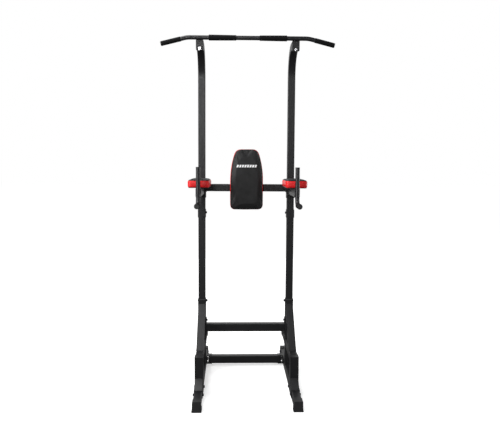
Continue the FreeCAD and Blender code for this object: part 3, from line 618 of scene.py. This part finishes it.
def swollen(made, held, cap):
    """Blows the form up with a cloth simulation that holds some points still. None moves beyond the cap."""
    start = [vertex.co.copy() for vertex in made.data.vertices]
    group = made.vertex_groups.new(name="held")
    group.add([k for k, point in enumerate(start) if held(point)], 1.0, "REPLACE")
    cloth = made.modifiers.new("swell", "CLOTH")
    settings = cloth.settings
    settings.quality = CLOTH_QUALITY
    settings.mass = CLOTH_MASS
    settings.tension_stiffness = CLOTH_STIFFNESS
    settings.compression_stiffness = CLOTH_STIFFNESS
    settings.shear_stiffness = CLOTH_SHEAR
    settings.bending_stiffness = CLOTH_BENDING
    settings.use_pressure = True
    settings.uniform_pressure_force = CLOTH_PRESSURE
    settings.effector_weights.gravity = 0.0
    settings.vertex_group_mass = "held"
    cloth.point_cache.frame_start = 1
    cloth.point_cache.frame_end = CLOTH_FRAMES
    scene = bpy.context.scene
    for number in range(1, CLOTH_FRAMES + 1):
        scene.frame_set(number)
    shown = made.evaluated_get(bpy.context.evaluated_depsgraph_get())
    moved = [vertex.co.copy() for vertex in shown.data.vertices]
    made.modifiers.clear()
    made.vertex_groups.clear()
    for vertex, before, after in zip(made.data.vertices, start, moved):
        step = after - before
        if step.length > cap:
            step = step.normalized() * cap
        vertex.co = before + step
    scene.frame_set(1)


def subdivided(made):
    """Splits each face in four and smooths the form."""
    def make():
        modifier = made.modifiers.new("subdivide", "SUBSURF")
        modifier.levels = 1
        modifier.render_levels = 1
    applied(made, make)


def ordered_loop(edges):
    """The corners of a closed chain of edges, in order."""
    edge = edges[0]
    start = edge.verts[0]
    at = edge.verts[1]
    chain = [start, at]
    wanted = set(edges)
    wanted.discard(edge)
    while at is not start:
        edge = next(e for e in at.link_edges if e in wanted)
        wanted.discard(edge)
        at = edge.other_vert(at)
        chain.append(at)
    return [vertex.co.copy() for vertex in chain[:-1]]


def cut_seam(mesh, place, normal):
    """Cuts the cover along a plane and returns the line of the cut."""
    parts = list(mesh.verts) + list(mesh.edges) + list(mesh.faces)
    made = bmesh.ops.bisect_plane(mesh, geom=parts, plane_co=place, plane_no=normal, dist=CUT_TOLERANCE)
    edges = [item for item in made["geom_cut"] if isinstance(item, bmesh.types.BMEdge)]
    return ordered_loop(edges)


def only_faces(mesh, wanted):
    """A copy of the mesh with only the faces whose middle is wanted, thickened inward as vinyl."""
    copy = mesh.copy()
    unwanted = [face for face in copy.faces if not wanted(face.calc_center_median())]
    bmesh.ops.delete(copy, geom=unwanted, context="FACES")
    bmesh.ops.solidify(copy, geom=list(copy.faces), thickness=VINYL)
    return copy


def fitted(made, node):
    """Stretches the swollen form slightly so that it fills the CAD solid's box."""
    low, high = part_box(node)
    points = [vertex.co for vertex in made.data.vertices]
    small = Vector(min(point[k] for point in points) for k in range(3))
    large = Vector(max(point[k] for point in points) for k in range(3))
    for vertex in made.data.vertices:
        for k in range(3):
            share = (vertex.co[k] - small[k]) / (large[k] - small[k])
            vertex.co[k] = low[k] + share * (high[k] - low[k])


def add_stitches(mesh, tree, seam, ray):
    """Adds a row of stitches beside a seam, laid on the cover, inside the seam's loop."""
    centre = sum(seam, Vector()) / len(seam)
    count = int(length_of(seam) / (STITCH + STITCH_GAP))
    line = resampled(seam, count * 2)
    for k in range(0, count * 2, 2):
        along = (line[(k + 1) % len(line)] - line[k - 1]).normalized()
        across = along.cross(ray).normalized()
        if across.dot(centre - line[k]) < 0:
            across = -across
        hit, normal, _, _ = tree.ray_cast(line[k] + across * STITCH_INSET - ray * RAY_START, ray)
        if hit is None:
            continue
        arch = []
        for share, height in STITCH_ARCH:
            arch.append(hit + along * (share * STITCH) + normal * (height * STITCH_R))
        add_tube(mesh, arch, STITCH_R, sides=FINE_SIDES)


def make_cushion(node, rings, axis, face, band, rear, cap):
    """One cushion: swells the form, draws in its seams, and makes its cover, band, piping and stitches.
    Depths run along the axis from the node's low side. The band lies between two seams at those depths,
    the face panel is on the side that face points to, and rear is the depth of the side that is held flat."""
    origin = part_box(node)[0].dot(axis)
    ray = -axis * face
    face_seam = band[1] if face > 0 else band[0]

    def depth_of(point):
        return point.dot(axis) - origin

    def held(point):
        depth = depth_of(point)
        return abs(depth - rear) < REAR_HOLD or abs(depth - face_seam) < SEAM_HOLD

    form = placed(node, as_data(node, loft(rings)))
    remeshed(form)
    swollen(form, held, cap)
    subdivided(form)
    fitted(form, node)

    cover = bmesh.new()
    cover.from_mesh(form.data)
    bpy.data.objects.remove(form)
    cover.normal_update()
    moves = []
    for vertex in cover.verts:
        near = min(abs(depth_of(vertex.co) - seam) for seam in band)
        pull = SEAM_DEPTH * math.exp(-(near / SEAM_REACH) ** 2)
        pucker = PUCKER * noise.noise(vertex.co * PUCKER_SCALE) * math.exp(-(near / PUCKER_REACH) ** 2)
        off_rear = min(1.0, abs(depth_of(vertex.co) - rear) / SEAM_REACH)
        slack = SLACK * noise.noise(vertex.co * SLACK_SCALE) * off_rear
        moves.append(vertex.normal * (slack + pucker - pull))
    for vertex, move in zip(cover.verts, moves):
        vertex.co += move
    tree = BVHTree.FromBMesh(cover)
    seams = {seam: cut_seam(cover, axis * (seam + origin), axis) for seam in band}

    def in_band(point):
        return band[0] < depth_of(point) < band[1]

    panels = only_faces(cover, lambda point: not in_band(point))
    side = only_faces(cover, in_band)
    cover.free()
    for name, part, slot in (("_cover", panels, "pad_black"), ("_band", side, "pad_red")):
        made = piece(node + name, part, "tower", slot, sharp=CUSHION_SHARP)
        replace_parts(made, node)
    piping = bmesh.new()
    for seam in seams.values():
        add_tube(piping, resampled(seam, int(length_of(seam) / PIPING_STEP)), PIPING_R, closed=True)
    piece(node + "_piping", piping, "tower", "pad_black")
    stitches = bmesh.new()
    add_stitches(stitches, tree, seams[face_seam], ray)
    piece(node + "_stitches", stitches, "tower", "thread")
    return tree


def make_arm_pad(side_name):
    """An arm cushion: a black top panel over a red band, flat where it rests on its board."""
    node = "arm_pad_" + side_name
    low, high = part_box(node)
    centre = (low + high) / 2
    half_x = (high.x - low.x) / 2
    half_y = (high.y - low.y) / 2
    thick = high.z - low.z
    rings = []
    for inset, height in ARM_PAD_PROFILE:
        middle = Vector((centre.x, centre.y, low.z + height * thick))
        inset *= MM
        points = rounded_rectangle(middle, X, Y, half_x - inset, half_y - inset, PAD_CORNER - inset)
        rings.append(resampled(points, OUTLINE_POINTS))
    make_cushion(node, rings, Z, 1, (PAD_BAND_FOOT, PAD_BAND_TOP), 0.0, ARM_PAD_SWELL)


def make_backrest():
    """The backrest cushion: a black front panel, and a red band that shows as a rim round it."""
    node = "backrest_pad"
    low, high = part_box(node)
    half = (high.x - low.x) / 2
    thick = high.y - low.y
    rings = []
    for inset, depth in BACKREST_PROFILE:
        outline = back_outline(half, low.z, high.z, inset * MM)
        rings.append([Vector((point.x, low.y + depth * thick, point.z)) for point in outline])
    tree = make_cushion(node, rings, Y, -1, (BACK_SEAM, BACK_REAR_SEAM), thick, BACKREST_SWELL)
    make_mark(tree, low.y)
    make_back_wrap(half, low.z, high.z, high.y)


def make_mark(tree, face_y):
    """A plain row of slanted bars printed on the backrest."""
    mesh = bmesh.new()
    first = -(MARK_BARS - 1) / 2
    for k in range(MARK_BARS):
        middle_x = (first + k) * MARK_PITCH
        bar = bmesh.new()
        bmesh.ops.create_grid(bar, x_segments=MARK_CELLS, y_segments=MARK_CELLS, size=0.5)
        for vertex in bar.verts:
            x = middle_x + vertex.co.x * MARK_BAR_W + vertex.co.y * MARK_SLANT
            z = MARK_Z + vertex.co.y * MARK_BAR_H
            hit = tree.ray_cast(Vector((x, face_y - RAY_START, z)), Y)[0]
            vertex.co = hit - Y * MARK_RAISED
        bmesh.ops.solidify(bar, geom=list(bar.faces), thickness=MARK_RAISED)
        data = as_data("bar", bar)
        mesh.from_mesh(data)
        bpy.data.meshes.remove(data)
    piece("backrest_mark", mesh, "tower", "print_pale")


def make_back_wrap(half, low_z, high_z, cushion_rear):
    """The cover's margin, folded round the backrest's board and stapled to its rear face."""
    board_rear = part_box("backrest_board")[1].y
    places = [(cushion_rear, ring) for ring in WRAP_SIDE] + [(board_rear, ring) for ring in WRAP_REAR]
    mesh = bmesh.new()
    rings = []
    for surface, (inset, behind, ruffle) in places:
        ring = []
        for point in back_outline(half, low_z, high_z, inset * MM):
            fold = abs(noise.noise(Vector((point.x, 0, point.z)) * WRAP_FOLD_SCALE)) * ruffle * MM
            ring.append(mesh.verts.new((point.x, surface + behind * MM + fold, point.z)))
        rings.append(ring)
    add_wall(mesh, rings)
    bmesh.ops.recalc_face_normals(mesh, faces=mesh.faces)
    bmesh.ops.solidify(mesh, geom=list(mesh.faces), thickness=-WRAP_THICK)
    piece("backrest_wrap", mesh, "tower", "pad_black", sharp=BEAD_SHARP)
    make_staples(back_outline(half, low_z, high_z, STAPLE_INSET), low_z, board_rear + STAPLE_CROWN)


def make_staples(outline, low_z, crown_y):
    """Staples round the margin, none of them quite straight."""
    staples = bmesh.new()
    step_x, step_z = STAPLE_LEAN_STEPS
    for k, point in enumerate(resampled(outline, STAPLES)):
        lean_x = noise.noise(Vector((k * step_x, 0, 0)))
        lean_z = noise.noise(Vector((0, k * step_z, 0)))
        straight = X if abs(point.z - low_z) < LOW_EDGE else Z
        along = (straight + Vector((lean_x, 0, lean_z)) * STAPLE_LEAN).normalized()
        legs = []
        for share, sunk in STAPLE_SHAPE:
            place = Vector((point.x, crown_y - sunk * MM, point.z))
            legs.append(place + along * (share * STAPLE_W))
        add_tube(staples, legs, STAPLE_R, sides=FINE_SIDES)
    piece("backrest_staples", staples, "tower", "bare_steel")


# ---------------------------------------------------------------- grips

def grip_profile(length, bore, near_r, far_r, bead):
    """Half the section of a sleeve: rounded mouths, a bead at each end and shallow rings beside it."""
    outer = []
    for k in range(GRIP_STEPS + 1):
        along = length * k / GRIP_STEPS
        edge = min(along, length - along)
        size = near_r + (far_r - near_r) * k / GRIP_STEPS
        size += bead * math.exp(-((edge - BEAD_PLACE) / BEAD_REACH) ** 2)
        if edge < RINGS_END:
            size -= RING_DEPTH * max(0.0, math.sin(2 * math.pi * edge / RING_PITCH))
        if edge < GRIP_MOUTH:
            size -= GRIP_MOUTH - math.sqrt(GRIP_MOUTH ** 2 - (GRIP_MOUTH - edge) ** 2)
        outer.append((along, size))
    return outer + [(length, bore), (0.0, bore)]


def make_centre_grips():
    low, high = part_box("centre_grips")
    mesh = bmesh.new()
    axis_y = (low.y + high.y) / 2
    axis_z = (low.z + high.z) / 2
    radius = (high.z - low.z) / 2
    outer_r = radius + CENTRE_GRIP_FLARE
    inner_r = radius - CENTRE_GRIP_TAPER
    profile = grip_profile(CENTRE_GRIP_LENGTH, BAR_R, outer_r, inner_r, CENTRE_GRIP_BEAD)
    for _, side in SIDES:
        start = Vector((side * high.x, axis_y, axis_z))
        add_turned(mesh, start, Vector((-side, 0, 0)), profile)
    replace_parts(piece("centre_grip_sleeves", mesh, "tower", "grip_rubber"), "centre_grips")


def make_end_grips():
    mesh = bmesh.new()
    profile = grip_profile(END_GRIP_LENGTH, BAR_R, END_GRIP_R, END_GRIP_R, END_GRIP_BEAD)
    for _, side in SIDES:
        end = Vector((side * BAR_END.x, BAR_END.y, BAR_END.z))
        bend = Vector((side * BAR_BEND.x, BAR_BEND.y, BAR_BEND.z))
        add_turned(mesh, end, (bend - end).normalized(), profile)
    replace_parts(piece("end_grip_sleeves", mesh, "tower", "grip_rubber"), "end_grips")


def make_dip_grips():
    low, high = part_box("dip_grips")
    mesh = bmesh.new()
    axis_z = (low.z + high.z) / 2
    axis_x = high.x - (high.z - low.z) / 2
    profile = grip_profile(high.y - low.y, BAR_R, DIP_GRIP_R, DIP_GRIP_R, DIP_GRIP_BEAD)
    for _, side in SIDES:
        add_turned(mesh, Vector((side * axis_x, low.y, axis_z)), Y, profile)
    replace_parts(piece("dip_grip_sleeves", mesh, "tower", "grip_rubber"), "dip_grips")


# ---------------------------------------------------------------- welds

def add_weld(mesh, points, closed=True):
    """Adds a weld bead with its overlapping ripples along the line where two parts meet."""
    def ripple(passed):
        return WELD_R * (1 - WELD_SWELL + WELD_SWELL * abs(math.sin(math.pi * passed / WELD_RIPPLE)))

    count = max(WELD_LEAST, int(length_of(points, closed) / WELD_STEP))
    add_tube(mesh, resampled(points, count, closed), ripple, sides=FINE_SIDES, closed=closed)


def make_base_welds():
    mesh = bmesh.new()
    post_low, post_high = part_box("main_post_left")
    front_low, front_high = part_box("front_post_left")
    floor_low, floor_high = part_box("floor_tube_left")
    rail_low, rail_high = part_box("front_rails")
    rear_low, rear_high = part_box("rear_rails")
    brace_low, brace_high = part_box("braces")
    bar_low, bar_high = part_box("front_crossbar")
    nut_low, nut_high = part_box("lock_nuts")
    shoe_top = front_low.z
    side_x = (post_low.x + post_high.x) / 2
    post_y = (post_low.y + post_high.y) / 2
    half_post = (post_high.x - post_low.x) / 2
    half_rail = (floor_high.x - floor_low.x) / 2
    half_rail_z = (rail_high.z - rail_low.z) / 2
    half_rear_z = (rear_high.z - rear_low.z) / 2
    rail_z = (rail_low.z + rail_high.z) / 2
    half_slant = half_rail * math.sqrt(2)       # the braces are cut at 45 degrees
    front_y = (front_low.y + front_high.y) / 2
    half_bar_y = (bar_high.y - bar_low.y) / 2
    half_bar_z = (bar_high.z - bar_low.z) / 2
    nut_r = (nut_high.z - nut_low.z) / 2
    for _, side in SIDES:
        x = -side * side_x
        for y in (rail_low.y, rail_high.y):
            middle = Vector((x, y, rail_z))
            add_weld(mesh, rounded_rectangle(middle, X, Z, half_rail, half_rail_z, TUBE_CORNER))
        behind = Vector((x, rear_low.y, (rear_low.z + rear_high.z) / 2))
        add_weld(mesh, rounded_rectangle(behind, X, Z, half_post, half_rear_z, TUBE_CORNER))
        on_post = Vector((x, brace_high.y, brace_high.z - half_slant))
        add_weld(mesh, rounded_rectangle(on_post, X, Z, half_rail, half_slant, BRACE_CORNER))
        on_rail = Vector((x, brace_low.y + half_slant, brace_low.z))
        add_weld(mesh, rounded_rectangle(on_rail, X, Y, half_rail, half_slant, BRACE_CORNER))
        on_floor = Vector((x, post_y, floor_high.z))
        add_weld(mesh, rounded_rectangle(on_floor, X, Y, half_rail, half_post, TUBE_CORNER))
        on_shoe = Vector((x, front_y, shoe_top))
        add_weld(mesh, rounded_rectangle(on_shoe, X, Y, half_post, half_post, TUBE_CORNER))
        bar_end = Vector((side * bar_high.x, post_y, (bar_low.z + bar_high.z) / 2))
        add_weld(mesh, rounded_rectangle(bar_end, Y, Z, half_bar_y, half_bar_z, TUBE_CORNER))
        nut_seat = Vector((side * nut_high.x, post_y, (nut_low.z + nut_high.z) / 2))
        add_weld(mesh, rounded_rectangle(nut_seat, Y, Z, nut_r, nut_r, nut_r))
    piece("base_welds", mesh, "base", "frame_paint", sharp=BEAD_SHARP)


def make_tower_welds():
    mesh = bmesh.new()
    arm_low, arm_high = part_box("arm_tube_left")
    bar_low, bar_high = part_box("arm_crossbar")
    rib_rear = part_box("backrest_bracket")[1].y
    hanger_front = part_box("bar_brackets")[0].y
    handle_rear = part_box("handle_left")[1].y
    arm_x = (arm_low.x + arm_high.x) / 2
    arm_z = (arm_low.z + arm_high.z) / 2
    half_arm_x = (arm_high.x - arm_low.x) / 2
    half_arm_z = (arm_high.z - arm_low.z) / 2
    handle_y = handle_rear - BAR_R
    reach = math.sqrt(BAR_R ** 2 - (arm_low.y - handle_y) ** 2)
    bar_y = (bar_low.y + bar_high.y) / 2
    bar_z = (bar_low.z + bar_high.z) / 2
    half_bar_y = (bar_high.y - bar_low.y) / 2
    half_bar_z = (bar_high.z - bar_low.z) / 2
    drop = math.sqrt(BAR_R ** 2 - (hanger_front - BAR_BEND.y) ** 2)
    for _, side in SIDES:
        x = -side * arm_x
        root = Vector((x, arm_high.y, arm_z))
        add_weld(mesh, rounded_rectangle(root, X, Z, half_arm_x, half_arm_z, TUBE_CORNER))
        for edge in (-reach, reach):
            foot = Vector((x + edge, arm_low.y, arm_low.z + TUBE_CORNER))
            head = Vector((x + edge, arm_low.y, arm_high.z - TUBE_CORNER))
            add_weld(mesh, [foot, head], closed=False)
        end = Vector((side * bar_high.x, bar_y, bar_z))
        add_weld(mesh, rounded_rectangle(end, Y, Z, half_bar_y, half_bar_z, TUBE_CORNER))
        for edge in (-RIB_HALF, RIB_HALF):
            rib_x = side * RIB_X + edge
            foot = Vector((rib_x, rib_rear, bar_low.z + TUBE_CORNER))
            head = Vector((rib_x, rib_rear, bar_high.z - TUBE_CORNER))
            add_weld(mesh, [foot, head], closed=False)
        start = Vector((x - HANGER_W / 2, hanger_front, BAR_BEND.z - drop))
        add_weld(mesh, [start, start + X * HANGER_W], closed=False)
    piece("tower_welds", mesh, "tower", "frame_paint", sharp=BEAD_SHARP)


# ---------------------------------------------------------------- camera, floor and light

def make_camera():
    data = bpy.data.cameras.new("camera")
    camera = placed("camera", data)
    bpy.context.scene.camera = camera
    data.sensor_width = SENSOR
    data.lens = CAMERA_LENS
    yaw, pitch, roll = (math.radians(a) for a in (CAMERA_YAW, CAMERA_PITCH, CAMERA_ROLL))
    ahead = X * math.sin(yaw) + Y * math.cos(yaw)
    right = X * math.cos(yaw) - Y * math.sin(yaw)
    view = ahead * math.cos(pitch) - Z * math.sin(pitch)
    up = Z * math.cos(pitch) + ahead * math.sin(pitch)
    rolled_right = right * math.cos(roll) + up * math.sin(roll)
    rolled_up = up * math.cos(roll) - right * math.sin(roll)
    turn = Matrix((rolled_right, rolled_up, -view)).transposed().to_4x4()
    camera.matrix_world = Matrix.Translation(CAMERA_PLACE) @ turn


def make_floor():
    """A pale floor that glows more with distance, so that it meets the backdrop without a horizon."""
    mesh = bmesh.new()
    bmesh.ops.create_grid(mesh, x_segments=FLOOR_CELLS, y_segments=FLOOR_CELLS, size=FLOOR_SIZE / 2)
    finish = Finish("floor", FLOOR_COLOUR, FLOOR_ROUGH, specular=FLOOR_SPECULAR)
    finish.tint(finish.speckle(1.5), FLOOR_COLOUR, FLOOR_PATCH)
    finish.shader.inputs["Emission Color"].default_value = WHITE
    distance = finish.tree.nodes.new("ShaderNodeVectorMath")
    distance.operation = "LENGTH"
    finish.join(finish.coords, distance.inputs[0])
    reach = (FLOOR_NEAR, FLOOR_FAR)
    glow = finish.ranged(distance.outputs["Value"], reach, (FLOOR_NEAR_GLOW, FLOOR_FAR_GLOW))
    finish.join(glow, finish.shader.inputs["Emission Strength"])
    floor = placed("floor", as_data("floor", mesh))
    floor.data.materials.append(finish.material)
    floor.visible_diffuse = False
    floor.visible_glossy = False


def make_world():
    """Soft even light all round, in front of a white backdrop."""
    world = bpy.data.worlds.new("studio")
    bpy.context.scene.world = world
    world.use_nodes = True
    nodes = world.node_tree.nodes
    links = world.node_tree.links
    light = nodes["Background"]
    light.inputs["Color"].default_value = WHITE
    light.inputs["Strength"].default_value = ROOM_LIGHT
    backdrop = nodes.new("ShaderNodeBackground")
    backdrop.inputs["Color"].default_value = WHITE
    backdrop.inputs["Strength"].default_value = BACKDROP_WHITE
    path = nodes.new("ShaderNodeLightPath")
    mix = nodes.new("ShaderNodeMixShader")
    links.new(path.outputs["Is Camera Ray"], mix.inputs[0])
    links.new(light.outputs[0], mix.inputs[1])
    links.new(backdrop.outputs[0], mix.inputs[2])
    links.new(mix.outputs[0], nodes["World Output"].inputs["Surface"])


def make_lamp(name, place, target, size, power):
    data = bpy.data.lights.new(name, "AREA")
    data.shape = "RECTANGLE"
    data.size = size[0]
    data.size_y = size[1]
    data.energy = power
    light = placed(name, data)
    light.visible_camera = False
    aim = (Vector(target) - Vector(place)).to_track_quat("-Z", "Y").to_matrix().to_4x4()
    light.matrix_world = Matrix.Translation(Vector(place)) @ aim


bpy.context.scene.view_settings.view_transform = "Standard"
FINISHES = make_finishes()
finish_cad_parts()
make_camera()
make_floor()
make_world()
for lamp in LAMPS:
    make_lamp(*lamp)

for side_name, _ in SIDES:
    make_arm_pad(side_name)
make_backrest()
make_centre_grips()
make_end_grips()
make_dip_grips()
make_base_welds()
make_tower_welds()
